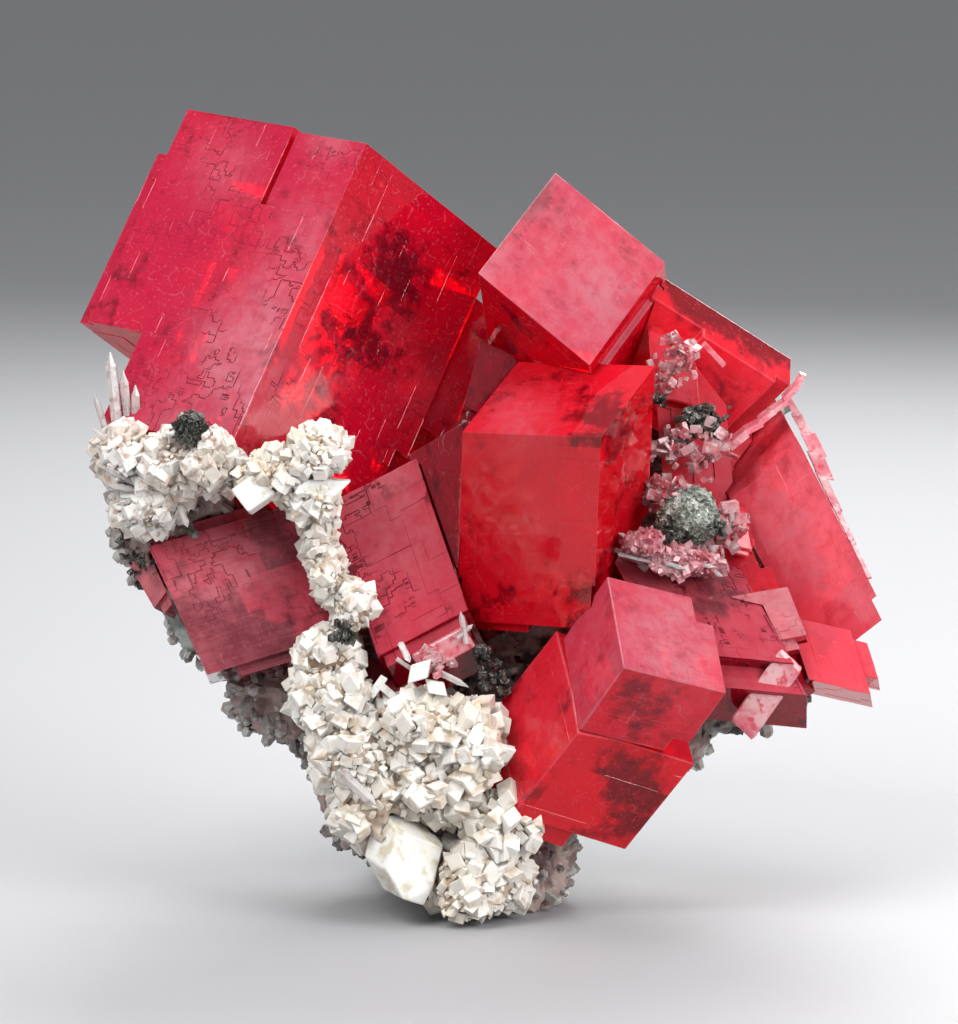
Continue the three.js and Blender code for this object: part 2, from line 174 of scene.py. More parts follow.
def only(piece):
    """Selects this piece alone and makes it active."""
    if bpy.context.object and bpy.context.object.mode != "OBJECT":
        bpy.ops.object.mode_set(mode="OBJECT")
    bpy.ops.object.select_all(action="DESELECT")
    piece.select_set(True)
    bpy.context.view_layer.objects.active = piece


def add_piece(name, mesh):
    piece = bpy.data.objects.new(name, mesh)
    bpy.context.scene.collection.objects.link(piece)
    only(piece)
    return piece


def copy_node(node, name):
    """A merged copy of a CAD node, with its flat faces whole again."""
    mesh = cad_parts[node].data.copy()
    mesh.name = name
    mesh.materials.clear()
    piece = add_piece(name, mesh)
    bpy.ops.object.mode_set(mode="EDIT")
    bpy.ops.mesh.select_all(action="SELECT")
    bpy.ops.mesh.remove_doubles(threshold=0.004 * MM)
    bpy.ops.mesh.dissolve_limited(angle_limit=math.radians(0.6))
    bpy.ops.object.mode_set(mode="OBJECT")
    return piece


def finish_piece(piece, nodes, material):
    piece.data.materials.clear()
    piece.data.materials.append(material)
    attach(piece, "root")
    if nodes:
        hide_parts(*nodes)


def apply_modifier(piece, kind, **settings):
    only(piece)
    modifier = piece.modifiers.new(kind.lower(), kind)
    for key, value in settings.items():
        setattr(modifier, key, value)
    bpy.ops.object.modifier_apply(modifier=modifier.name)


def select_faces(piece, test):
    """Selects, in edit mode, the faces that pass a test of their centre and normal."""
    shape = bmesh.from_edit_mesh(piece.data)
    shape.select_mode = {"FACE"}
    count = 0
    for face in shape.faces:
        face.select_set(False)
    for face in shape.faces:
        if test(face.calc_center_median(), face.normal, face):
            face.select_set(True)
            count += 1
    shape.select_flush_mode()
    bmesh.update_edit_mesh(piece.data)
    return count


# ---------------------------------------------------------------- crystal lattices


def lattice_normals(mesh, across=False):
    """The three main face directions of a crystal; striations run up its largest face, or across it."""
    groups = []
    for face in sorted(mesh.polygons, key=lambda item: -item.area):
        for group in groups:
            if abs(group[0].dot(face.normal)) > ON_LATTICE:
                group[1] += face.area
                break
        else:
            groups.append([face.normal.copy(), face.area])
    groups.sort(key=lambda item: -item[1])
    normals = [groups[0][0], groups[1][0]]
    for normal, _ in groups[2:]:
        if abs(normals[0].cross(normals[1]).dot(normal)) > 0.35:
            normals.append(normal)
            break
    first, second, third = normals
    if (abs(third.cross(first).normalized().x) > abs(first.cross(second).normalized().x)) != across:
        second, third = third, second
    return [first, second, third]


def lattice_attribute(mesh, normals):
    """Writes each vertex's place along the three lattice edges, in mm, for the materials to read."""
    edges = Matrix([normals[1].cross(normals[2]).normalized(),
                    normals[2].cross(normals[0]).normalized(),
                    normals[0].cross(normals[1]).normalized()]).transposed()
    inverse = np.array(edges.inverted())
    places = np.empty(len(mesh.vertices) * 3, np.float32)
    mesh.vertices.foreach_get("co", places)
    values = (places.reshape(-1, 3) / MM) @ inverse.T
    attribute = mesh.attributes.new("lattice", "FLOAT_VECTOR", "POINT")
    attribute.data.foreach_set("vector", values.astype(np.float32).ravel())


def seen_from_front(place):
    """Where a place lies when the cluster is seen face-on: right and up, in mm."""
    return place.x / MM, (place.y * math.sin(LEAN) + place.z * math.cos(LEAN)) / MM


def off_lattice(face, normals):
    """True for a face that is not one of the crystal's own flat faces."""
    return max(abs(face.normal.dot(normal)) for normal in normals) < ON_LATTICE


def mark_bevel_highlight(mesh, normals):
    """Marks the bevelled edge faces, which take a painted highlight paler than the flat faces."""
    rounded = mesh.attributes.new("rounded", "FLOAT", "FACE")
    for face, value in zip(mesh.polygons, rounded.data):
        value.value = float(off_lattice(face, normals))


def milky_sheen_shade_attributes(mesh, normals, amount, clouds):
    """Writes on each face corner how much pale veil with painted sheen, dark shade and light it carries.
    Faces that look at the light take a painted sheen, and bevelled edges a painted highlight.
    """
    # painted sheen: faces turned toward the light get more of the pale veil colour
    sheen_light_side = Vector((-0.25, -0.72, 0.65)).normalized()
    milky_sheens = np.zeros(len(mesh.loops), np.float32)
    shades = np.zeros(len(mesh.loops), np.float32)
    lights = np.zeros(len(mesh.loops), np.float32)
    rounded = mesh.attributes["rounded"].data
    for face in mesh.polygons:
        toward = min(1.0, max(0.0, (face.normal.dot(sheen_light_side) - 0.3) / 0.5))
        on_edge = rounded[face.index].value > 0.5
        on_wall = not on_edge and off_lattice(face, normals)
        for loop in face.loop_indices:
            right, up = seen_from_front(mesh.vertices[mesh.loops[loop].vertex_index].co)
            # painted highlight: the bevelled edge faces take half the pale colour
            milky_sheen, shade = amount * toward * 0.75 + 0.5 * on_edge + 0.04 * on_wall, 0.0
            for cloud_right, cloud_up, reach, strength in clouds:
                away = ((right - cloud_right) ** 2 + (up - cloud_up) ** 2) / reach ** 2
                share = strength * math.exp(-away)
                milky_sheen += max(share, 0.0) * (0.25 + 0.75 * toward)
                shade -= min(share, 0.0)
            lights[loop] = toward
            milky_sheens[loop] = min(milky_sheen, 1.0)
            shades[loop] = min(shade, 1.0)
    for name, values in (("milky_sheen", milky_sheens), ("shade", shades), ("lit", lights)):
        mesh.attributes.new(name, "FLOAT", "CORNER").data.foreach_set("value", values)


# ---------------------------------------------------------------- materials


def new_group(name, inputs, outputs):
    """A shader node group with named colour, value and vector sockets."""
    group = bpy.data.node_groups.new(name, "ShaderNodeTree")
    kinds = {"colour": "NodeSocketColor", "value": "NodeSocketFloat", "vector": "NodeSocketVector"}
    for label, (kind, default) in inputs.items():
        socket = group.interface.new_socket(name=label, in_out="INPUT", socket_type=kinds[kind])
        if default is not None:
            socket.default_value = default
    for label, kind in outputs.items():
        group.interface.new_socket(name=label, in_out="OUTPUT", socket_type=kinds[kind])
    return group, group.nodes.new("NodeGroupInput"), group.nodes.new("NodeGroupOutput")


class Wires:
    """Adds nodes to a tree and joins them in short lines."""

    def __init__(self, tree):
        self.tree = tree

    def node(self, kind, settings=None, **inputs):
        node = self.tree.nodes.new(kind)
        for key, value in (settings or {}).items():
            setattr(node, key, value)
        for key, value in inputs.items():
            numbered = key[0] == "i" and key[1:].isdigit()
            self.set(node, int(key[1:]) if numbered else key.replace("_", " "), value)
        return node

    def set(self, node, key, value):
        socket = node.inputs[key]
        if isinstance(value, bpy.types.NodeSocket):
            self.tree.links.new(value, socket)
        elif isinstance(value, bpy.types.Node):
            self.tree.links.new(value.outputs[0], socket)
        else:
            socket.default_value = value

    def math(self, operation, first, second=0.5, third=0.5, clamp=False):
        return self.node("ShaderNodeMath", {"operation": operation, "use_clamp": clamp},
                         i0=first, i1=second, i2=third).outputs[0]

    def scaled(self, vector, scale):
        return self.node("ShaderNodeVectorMath", {"operation": "MULTIPLY"}, i0=vector, i1=scale).outputs[0]

    def snapped(self, vector, cell):
        return self.node("ShaderNodeVectorMath", {"operation": "SNAP"}, i0=vector, i1=cell).outputs[0]

    def noise(self, vector, scale, detail=3.0, rough=0.55, distort=0.0):
        return self.node("ShaderNodeTexNoise", None, Vector=vector, Scale=scale, Detail=detail,
                         Roughness=rough, Distortion=distort).outputs[0]

    def cells(self, vector, scale, feature="F1", distance="CHEBYCHEV"):
        return self.node("ShaderNodeTexVoronoi", {"feature": feature, "distance": distance},
                         Vector=vector, Scale=scale)

    def ramp(self, value, low, high, start=0.0, end=1.0):
        return self.node("ShaderNodeMapRange", {"interpolation_type": "SMOOTHSTEP"}, Value=value,
                         From_Min=low, From_Max=high, To_Min=start, To_Max=end).outputs[0]

    def mix(self, share, first, second, blend="MIX"):
        node = self.tree.nodes.new("ShaderNodeMix")
        node.data_type = "RGBA"
        node.blend_type = blend
        self.set(node, 0, share)
        self.set(node, 6, first)
        self.set(node, 7, second)
        return node.outputs[2]


def new_material(name):
    """An empty material with its wires and its shader."""
    material = bpy.data.materials.new(name)
    material.use_nodes = True
    tree = material.node_tree
    return material, Wires(tree), tree.nodes["Principled BSDF"]


def add_surface(wire, shader, group_name, values, strength, distance_mm):
    """Adds a shared surface group with its own values and joins it to the shader."""
    group = wire.tree.nodes.new("ShaderNodeGroup")
    group.node_tree = bpy.data.node_groups[group_name]
    for label, value in values.items():
        group.inputs[label].default_value = value
    bump = wire.node("ShaderNodeBump", None, Strength=strength, Distance=distance_mm * MM,
                     Height=group.outputs["Height"])
    wire.set(shader, "Base Color", group.outputs["Colour"])
    wire.set(shader, "Roughness", group.outputs["Roughness"])
    wire.set(shader, "Normal", bump)


def add_absorption(wire, colour, density):
    """Tints the light that passes through a clear body."""
    inside = wire.node("ShaderNodeVolumeAbsorption", None, Color=(*colour, 1), Density=density)
    wire.tree.links.new(inside.outputs[0], wire.tree.nodes["Material Output"].inputs["Volume"])


def crystal_surface_group():
    """Clouds, pale veils with painted sheen, painted shade, square-stepped cracks and striations of a rhomb
    face.
    """
    group, inside, outside = new_group(
        "crystal_surface",
        {
            "Body": ("colour", (0.7, 0.01, 0.03, 1)),
            "Turned Away": ("colour", (0.7, 0.0, 0.01, 1)),
            "Dark": ("colour", (0.1, 0.0, 0.004, 1)),
            "Milky Sheen Colour": ("colour", (0.9, 0.4, 0.45, 1)),
            "Crack": ("value", 0.5),
            "Stripe": ("value", 0.4),
            "Blocks": ("value", 0.07),
            "Seed": ("value", 0.0),
        },
        {"Colour": "colour", "Roughness": "value", "Height": "value"},
    )
    wire = Wires(group)
    lattice = wire.node("ShaderNodeAttribute", {"attribute_name": "lattice"}).outputs["Vector"]
    milky_sheen_in = wire.node("ShaderNodeAttribute", {"attribute_name": "milky_sheen"}).outputs["Fac"]
    shade_in = wire.node("ShaderNodeAttribute", {"attribute_name": "shade"}).outputs["Fac"]
    seed = inside.outputs["Seed"]
    shift = wire.node("ShaderNodeCombineXYZ", None, X=seed, Y=seed).outputs[0]
    place = wire.node("ShaderNodeVectorMath", {"operation": "ADD"}, i0=lattice, i1=shift).outputs[0]
    cloud = wire.noise(place, 0.10, 3.0, 0.62, 0.8)
    puff = wire.noise(place, 0.34, 2.0, 0.65)
    fine = wire.noise(place, 1.6, 1.0, 0.62)
    streak = wire.noise(wire.scaled(place, (0.7, 0.06, 1.7)), 1.0, 2.0, 0.7)

    def stepped(move):
        """Noise read at square cells of two sizes, which gives stair-stepped outlines."""
        moved = wire.node("ShaderNodeVectorMath", {"operation": "ADD"}, i0=place, i1=move).outputs[0]
        large = wire.snapped(moved, (1.9, 0.9, 2.3))
        small = wire.snapped(moved, (0.7, 0.5, 0.9))
        both = wire.math("ADD", wire.math("MULTIPLY", wire.noise(large, 0.31, 0.0), 0.6),
                         wire.math("MULTIPLY", wire.noise(small, 0.55, 0.0), 0.4))
        return wire.ramp(both, 0.49, 0.505)

    terrace = stepped((0, 0, 0))
    line = wire.math("ABSOLUTE", wire.math("SUBTRACT", terrace, stepped((0.22, 0.22, 0.22))))
    crack_zone = wire.ramp(wire.noise(place, 0.12, 0.0), 0.46, 0.60)
    crack_zone = wire.math("MULTIPLY", crack_zone, wire.math("ADD", wire.math("MULTIPLY", milky_sheen_in, 1.2), 0.4))
    crack = wire.math("MULTIPLY", line, crack_zone)
    crack = wire.math("MULTIPLY", crack, inside.outputs["Crack"], clamp=True)
    # light healed cracks inside: thin bent sheets seen as pale lines
    bend = wire.node("ShaderNodeTexNoise", None, Vector=place, Scale=0.25, Detail=0.0).outputs["Color"]
    bent = wire.node("ShaderNodeVectorMath", {"operation": "MULTIPLY_ADD"},
                     i0=bend, i1=(3.5, 3.5, 3.5), i2=place).outputs[0]
    sheet = wire.cells(bent, 0.16, "DISTANCE_TO_EDGE", "EUCLIDEAN").outputs["Distance"]
    healed = wire.math("MULTIPLY", wire.ramp(sheet, 0.0, 0.02, 0.28, 0.0), wire.ramp(puff, 0.48, 0.62))
    # colour: dark depths with painted shade, bright clouds, pale veils with painted sheen and edge
    # highlights, lines
    depth = wire.math("ADD", wire.math("MULTIPLY", cloud, 0.6), wire.math("MULTIPLY", puff, 0.4))
    # painted shade: the dark clouds pull the colour toward the dark colour
    depth = wire.math("SUBTRACT", depth, wire.math("MULTIPLY", shade_in, 0.3))
    # painted light: faces that look at the light take the body colour, faces turned from it a deeper red
    lit = wire.node("ShaderNodeAttribute", {"attribute_name": "lit"}).outputs["Fac"]
    clean = wire.mix(lit, inside.outputs["Turned Away"], inside.outputs["Body"])
    cell = wire.snapped(place, (8.3, 6.1, 9.7))
    cell_tone = wire.node("ShaderNodeTexWhiteNoise", {"noise_dimensions": "3D"}, Vector=cell).outputs["Value"]
    depth = wire.math("SUBTRACT", depth, wire.math("MULTIPLY", cell_tone, inside.outputs["Blocks"]))
    body = wire.mix(wire.ramp(depth, 0.21, 0.40), inside.outputs["Dark"], clean)
    speck = wire.ramp(fine, 0.60, 0.74, 0.0, 0.2)
    body = wire.mix(speck, body, inside.outputs["Milky Sheen Colour"])
    body = wire.mix(healed, body, inside.outputs["Milky Sheen Colour"])
    stripes = wire.math("MULTIPLY", wire.math("SUBTRACT", streak, 0.5), inside.outputs["Stripe"])
    milky_sheen_noise = wire.math("ADD", wire.math("MULTIPLY", puff, 0.7), wire.math("ADD", stripes, 0.22))
    # pale veil mixed with painted sheen and painted edge highlight
    milky_sheen = wire.math("MULTIPLY", milky_sheen_in, wire.ramp(milky_sheen_noise, 0.42, 0.72, 0.55, 1.0))
    body = wire.mix(wire.math("MULTIPLY", milky_sheen, 0.85), body, inside.outputs["Milky Sheen Colour"])
    body = wire.mix(wire.math("MULTIPLY", crack, 0.8), body, (0.13, 0.0, 0.01, 1))
    wire.set(outside, "Colour", body)
    # gloss
    rough = wire.math("ADD", wire.math("MULTIPLY", milky_sheen, 0.12), wire.math("MULTIPLY", puff, 0.07))
    wire.set(outside, "Roughness", wire.math("ADD", rough, 0.02))
    # height in mm
    height = wire.math("MULTIPLY", wire.math("MULTIPLY", terrace, crack_zone), 0.03)
    height = wire.math("SUBTRACT", height, wire.math("MULTIPLY", crack, 0.12))
    height = wire.math("ADD", height, wire.math("MULTIPLY", puff, 0.06))
    wire.set(outside, "Height", height)
    return group


def crystal_material(name, body, turned_away_colour, dark, milky_sheen_colour, crack, stripe, blocks, seed, clear, density, tint):
    """See-through crystal: plain transmission and absorption, with the growth pattern, painted sheen and
    painted shade on its surface.
    """
    material, wire, shader = new_material(name)
    values = {"Body": (*body, 1), "Turned Away": (*turned_away_colour, 1), "Dark": (*dark, 1), "Milky Sheen Colour": (*milky_sheen_colour, 1),
              "Crack": crack, "Stripe": stripe, "Blocks": blocks, "Seed": seed}
    add_surface(wire, shader, "crystal_surface", values, 0.5, 1.0)
    shader.inputs["IOR"].default_value = 1.5
    shader.inputs["Specular IOR Level"].default_value = 0.35
    shader.inputs["Transmission Weight"].default_value = clear
    add_absorption(wire, tint, density)
    return material


def rock_surface_group():
    """Grainy stone of three colours mixed by clouds of different size, with fine pale flecks."""
    group, inside, outside = new_group(
        "rock_surface",
        {
            "First": ("colour", (0.5, 0.5, 0.5, 1)),
            "Second": ("colour", (0.6, 0.6, 0.6, 1)),
            "Third": ("colour", (0.3, 0.3, 0.3, 1)),
            "Fleck": ("colour", (0.4, 0.4, 0.4, 1)),
            "Flecks": ("value", 0.0),
            "Scale": ("value", 100.0),
            "Smoothest": ("value", 0.2),
            "Roughest": ("value", 0.6),
        },
        {"Colour": "colour", "Roughness": "value", "Height": "value"},
    )
    wire = Wires(group)
    place = wire.node("ShaderNodeTexCoord").outputs["Object"]
    scale = inside.outputs["Scale"]
    large = wire.noise(place, scale, 3.0, 0.6)
    small = wire.noise(place, wire.math("MULTIPLY", scale, 5.0), 2.0, 0.6)
    grain = wire.cells(place, wire.math("MULTIPLY", scale, 7.0), distance="EUCLIDEAN").outputs["Distance"]
    tone = wire.mix(wire.ramp(large, 0.4, 0.6), inside.outputs["First"], inside.outputs["Second"])
    tone = wire.mix(wire.ramp(small, 0.5, 0.68), tone, inside.outputs["Third"])
    flecks = wire.math("MULTIPLY", wire.ramp(grain, 0.12, 0.22, 1.0, 0.0), inside.outputs["Flecks"])
    wire.set(outside, "Colour", wire.mix(flecks, tone, inside.outputs["Fleck"]))
    rough = wire.ramp(small, 0.3, 0.7, inside.outputs["Smoothest"], inside.outputs["Roughest"])
    wire.set(outside, "Roughness", rough)
    height = wire.math("ADD", wire.math("MULTIPLY", small, 0.6), wire.math("MULTIPLY", grain, 0.5))
    wire.set(outside, "Height", height)
    return group


def rock_material(name, colours, scale, rough, bump_mm, metal=0.0, fleck=None, clear=0.0, density=0.0):
    """A stone or small-crystal finish: the shared rock surface with its own colours, gloss and clearness."""
    material, wire, shader = new_material(name)
    values = {"Scale": scale, "Smoothest": rough[0], "Roughest": rough[1]}
    values.update(zip(("First", "Second", "Third"), ((*colour, 1) for colour in colours)))
    if fleck:
        values.update({"Fleck": (*fleck, 1), "Flecks": 0.9})
    add_surface(wire, shader, "rock_surface", values, 0.8, bump_mm)
    shader.inputs["Metallic"].default_value = metal
    shader.inputs["Transmission Weight"].default_value = clear
    shader.inputs["IOR"].default_value = 1.54
    if density:
        add_absorption(wire, colours[1], density)
    return material


def matrix_material():
    """Brown quartz rock at the front, teal and white rock at the back, with black sulphide patches."""
    material, wire, shader = new_material("matrix_rock_skin")
    place = wire.node("ShaderNodeTexCoord").outputs["Object"]
    depth = wire.node("ShaderNodeSeparateXYZ", None, Vector=place).outputs[1]
    large = wire.noise(place, 40, 3.0, 0.6, 0.5)
    middle = wire.noise(place, 130, 3.0, 0.62)
    fine = wire.noise(place, 600, 2.0, 0.65)
    brown = wire.mix(wire.ramp(middle, 0.38, 0.62), (0.11, 0.055, 0.05, 1), (0.40, 0.29, 0.26, 1))
    teal = wire.mix(wire.ramp(middle, 0.36, 0.6), (0.08, 0.13, 0.12, 1), (0.50, 0.55, 0.52, 1))
    back = wire.ramp(wire.math("ADD", depth, wire.math("MULTIPLY", large, 0.05)), 0.035, 0.052)
    tone = wire.mix(back, brown, teal)
    tone = wire.mix(wire.ramp(large, 0.56, 0.62), tone, (0.02, 0.022, 0.022, 1))
    tone = wire.mix(wire.ramp(fine, 0.56, 0.7, 0.0, 0.6), tone, (0.62, 0.60, 0.57, 1))
    wire.set(shader, "Base Color", tone)
    wire.set(shader, "Roughness", wire.ramp(middle, 0.35, 0.65, 0.3, 0.85))
    grain = wire.cells(place, 420, distance="EUCLIDEAN").outputs["Distance"]
    height = wire.math("ADD", wire.math("MULTIPLY", fine, 0.7), wire.math("MULTIPLY", grain, 0.5))
    bump = wire.node("ShaderNodeBump", None, Strength=0.9, Distance=0.6 * MM, Height=height)
    wire.set(shader, "Normal", bump)
    return material


# ---------------------------------------------------------------- rhombs


def grow_blocks(piece, normals, block_mm, rng):
    """Cuts the faces along the lattice at uneven spacing, so that steps can follow it."""
    bpy.ops.object.mode_set(mode="EDIT")
    places = [vertex.co.copy() for vertex in piece.data.vertices]
    for normal in normals:
        reach = [place.dot(normal) for place in places]
        level, end = min(reach) + block_mm * MM * 0.4, max(reach)
        while level < end:
            bpy.ops.mesh.select_all(action="SELECT")
            bpy.ops.mesh.bisect(plane_co=normal * level, plane_no=normal, use_fill=False)
            level += block_mm * MM * rng.choice((0.35, 0.6, 0.9, 1.3, 1.7))
    bpy.ops.object.mode_set(mode="OBJECT")


def raise_steps(piece, normals, height, seed):
    """Lifts and sinks low terraces with square-stepped outlines on each of the six faces."""
    bpy.ops.object.mode_set(mode="EDIT")
    for level, (threshold, grain, share) in enumerate(((0.1, 14.0, 1.0), (0.22, 7.0, -0.9))):
        for index, normal in enumerate(normals):
            for side in (1, -1):
                offset = Vector((seed * 3.1, index * 7.7 + side, level * 5.3))

                def on_terrace(centre, direction, face):
                    if direction.dot(normal) * side < 0.995 or face.calc_area() < 0.05 * MM * MM:
                        return False
                    return noise.noise(centre / (grain * MM) + offset) > threshold

                if select_faces(piece, on_terrace):
                    bpy.ops.mesh.inset(thickness=0.04 * MM, depth=height * share, use_even_offset=False)
    bpy.ops.object.mode_set(mode="OBJECT")


def build_rhomb(node, milky_sheen, relief_mm, seed, settings, material):
    piece = copy_node(node, node.replace("rhomb", "crystal"))
    normals = lattice_normals(piece.data, across=node in STRIPED_ACROSS)
    apply_modifier(piece, "BEVEL", width=settings.edge_round, segments=2, limit_method="ANGLE",
                   angle_limit=SHARP_EDGE, use_clamp_overlap=True)
    mark_bevel_highlight(piece.data, normals)
    grow_blocks(piece, normals, 2.2, random.Random(seed))
    raise_steps(piece, normals, relief_mm * MM, seed)
    only(piece)
    bpy.ops.object.shade_flat()
    lattice_attribute(piece.data, normals)
    milky_sheen_shade_attributes(piece.data, normals, milky_sheen, SHEEN_AND_SHADE_CLOUDS.get(node, ()))
    finish_piece(piece, [node], material)
    return piece


class SPECIMEN_OT_rhombs(Operator):
    """Build the red rhombs with their growth steps"""

    bl_idname = "specimen.rhombs"
    bl_label = "Rhombs"

    def execute(self, context):
        settings = context.scene.specimen
        crystal_surface_group()
        rose_milky_sheen = tuple(settings.rose_sheen_colour)
        # finish: colour, deeper colour of faces turned from the light (painted shade), dark colour and pale
        # colour of the veil and painted sheen,
        # then crack, stripe, blocks, clearness, absorption and inner tint
        looks = {
            "fire": (settings.fire_colour, (0.92, 0.002, 0.014), (0.24, 0.0, 0.004), (0.95, 0.14, 0.20),
                     0.15, 0.1, 0.13, 0.52, 170, (1.0, 0.03, 0.03)),
            "rose": (settings.rose_colour, (0.80, 0.0, 0.014), (0.20, 0.0, 0.010), rose_milky_sheen,
                     0.9, 0.3, 0.09, 0.56, 180, (1.0, 0.02, 0.07)),
            "petal": (settings.rose_colour, (0.85, 0.0, 0.02), (0.26, 0.0, 0.012), (0.72, 0.26, 0.31),
                      0.12, 0.08, 0.09, 0.5, 200, (1.0, 0.02, 0.06)),
            "striped": (settings.mauve_colour, (0.58, 0.0, 0.015), (0.13, 0.0, 0.01), (0.80, 0.22, 0.27),
                        0.5, 0.4, 0.24, 0.45, 200, (1.0, 0.03, 0.07)),
            "mauve": (settings.mauve_colour, (0.42, 0.0, 0.015), (0.11, 0.0, 0.01), (0.62, 0.14, 0.17),
                      1.0, 0.12, 0.12, 0.42, 200, (1.0, 0.03, 0.07)),
            "wine": (settings.wine_colour, (0.40, 0.0, 0.01), (0.05, 0.0, 0.004), (0.5, 0.08, 0.13),
                     0.4, 0.5, 0.12, 0.55, 200, (1.0, 0.02, 0.04)),
            "coral": (settings.coral_colour, (0.95, 0.012, 0.05), (0.55, 0.0, 0.012), (1.0, 0.22, 0.29),
                      0.12, 0.1, 0.12, 0.5, 160, (1.0, 0.05, 0.07)),
            "blush": (settings.blush_colour, (0.7, 0.04, 0.07), (0.40, 0.02, 0.04), (0.90, 0.42, 0.46),
                      0.4, 0.5, 0.12, 0.5, 120, (1.0, 0.2, 0.22)),
        }
        for node, (finish, milky_sheen, relief_mm, seed) in RHOMBS.items():
            colour, turned_away_colour, dark, pale, crack, stripe, blocks, clear, density, tint = looks[finish]
            material = crystal_material(f"{finish}_{seed}", tuple(colour), turned_away_colour, dark, pale, crack, stripe,
                                        blocks, seed * 13.7, clear, density, tint)
            build_rhomb(node, milky_sheen, relief_mm, seed, settings, material)
        return {"FINISHED"}


# ---------------------------------------------------------------- small crystals


def small_rhomb(skewed=True):
    """One bevelled rhomb of edge 1 as plain vertices and faces."""
    bpy.ops.object.select_all(action="DESELECT")
    bpy.ops.mesh.primitive_cube_add(size=1)
    piece = bpy.context.object
    if skewed:
        piece.data.transform(Matrix(((1, -0.22, -0.22), (0, 0.975, -0.27), (0, 0, 0.937))).to_4x4())
    apply_modifier(piece, "BEVEL", width=0.05, segments=1)
    return take_shape(piece)


def quartz_point(sides=6):
    """One quartz prism of length 1 and width 1 with a pointed end."""
    bpy.ops.object.select_all(action="DESELECT")
    bpy.ops.mesh.primitive_cylinder_add(vertices=sides, radius=0.5, depth=0.8, location=(0, 0, 0.4))
    piece = bpy.context.object
    bpy.ops.object.mode_set(mode="EDIT")
    select_faces(piece, lambda centre, normal, face: normal.z > 0.9)
    bpy.ops.mesh.extrude_region_move(TRANSFORM_OT_translate={"value": (0, 0, 0.2)})
    bpy.ops.transform.resize(value=(0.12, 0.12, 1), center_override=(0, 0, 1))
    bpy.ops.object.mode_set(mode="OBJECT")
    bpy.ops.object.transform_apply(location=True)
    return take_shape(piece)


def take_shape(piece):
    """The vertices and faces of a finished template, which is then removed."""
    only(piece)
    bpy.ops.object.transform_apply(location=True, rotation=True, scale=True)
    mesh = piece.data
    points = np.array([vertex.co for vertex in mesh.vertices])
    faces = [tuple(face.vertices) for face in mesh.polygons]
    bpy.data.objects.remove(piece)
    return points, faces


def joined_copies(name, shape, places):
    """One mesh of many copies. Each place is (location, 3x3 turn and scale)."""
    points, faces = shape
    all_points, all_faces = [], []
    for location, turn in places:
        start = len(all_points) * len(points)
        all_points.append(points @ np.array(turn).T + np.array(location))
        all_faces.extend(tuple(start + i for i in face) for face in faces)
    mesh = bpy.data.meshes.new(name)
    mesh.from_pydata(np.concatenate(all_points).tolist(), [], all_faces)
    mesh.update()
    return add_piece(name, mesh)


def surface_points(node, spacing, rng, keep=None, tries=9000):
    """Points spread over a node's surface, no two closer than the spacing, each with its normal."""
    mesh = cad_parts[node].data
    mesh.calc_loop_triangles()
    corners = [[mesh.vertices[i].co for i in tri.vertices] for tri in mesh.loop_triangles]
    areas = np.cumsum([tri.area for tri in mesh.loop_triangles])
    found, grid = [], {}
    for _ in range(tries):
        index = int(np.searchsorted(areas, rng.random() * areas[-1]))
        index = min(index, len(corners) - 1)
        first, second = rng.random(), rng.random()
        if first + second > 1:
            first, second = 1 - first, 1 - second
        a, b, c = corners[index]
        place = a + (b - a) * first + (c - a) * second
        normal = (b - a).cross(c - a).normalized()
        if keep and not keep(place, normal):
            continue
        cell = tuple(int(math.floor(value / spacing)) for value in place)
        close = False
        for dx in (-1, 0, 1):
            for dy in (-1, 0, 1):
                for dz in (-1, 0, 1):
                    for other in grid.get((cell[0] + dx, cell[1] + dy, cell[2] + dz), ()):
                        if (other - place).length < spacing:
                            close = True
        if close:
            continue
        grid.setdefault(cell, []).append(place)
        found.append((place, normal))
    return found


def turned(normal, rng, lean=0.9):
    """A turn that stands a small crystal on a surface, leaning and spun at random."""
    tilt = Vector((rng.uniform(-lean, lean), rng.uniform(-lean, lean), rng.uniform(-lean, lean)))
    up = (normal + tilt * 0.5).normalized()
    turn = up.to_track_quat("Z", "Y").to_matrix()
    return turn @ Matrix.Rotation(rng.uniform(0, math.tau), 3, "Z") @ Euler((0.62, 0.6, 0)).to_matrix()


def any_turn(rng):
    return Euler([rng.uniform(0, math.tau) for _ in range(3)]).to_matrix()


def scattered(rng, cluster, spread_away):
    """A place near the middle of a cluster given as right, away, up and reach in mm."""
    right, away, up, reach = cluster
    return on_face_frame(right + rng.gauss(0, reach), away + rng.gauss(0, spread_away),
                         up + rng.gauss(0, reach))


def crust_base(node, name, voxel_mm, bump_mm, seed):
    """The solid under a crust: the node remeshed evenly and roughened."""
    piece = copy_node(node, name)
    apply_modifier(piece, "REMESH", mode="VOXEL", voxel_size=voxel_mm * MM)
    roughen(piece, bump_mm, seed, 2.2)
    only(piece)
    bpy.ops.object.shade_smooth_by_angle(angle=math.radians(35))
    return piece


def roughen(piece, bump_mm, seed, grain_mm):
    """Moves each vertex along its normal by layered bumps."""
    mesh = piece.data
    moved = []
    for vertex in mesh.vertices:
        place = vertex.co / (grain_mm * MM) + Vector((seed, seed * 2.0, 0))
        height = noise.noise(place) + 0.5 * noise.noise(place * 2.3) + 0.35 * abs(noise.noise(place * 4.1))
        moved.append(vertex.co + vertex.normal * height * bump_mm * MM)
    for vertex, place in zip(mesh.vertices, moved):
        if vertex.co.z <= FOOT_SKIN:
            place.z = 0.0
        elif vertex.co.z < FOOT_EDGE:
            place.z = min(place.z, FOOT_EDGE)
        place.z = max(place.z, 0.0)
        vertex.co = place
    mesh.update()


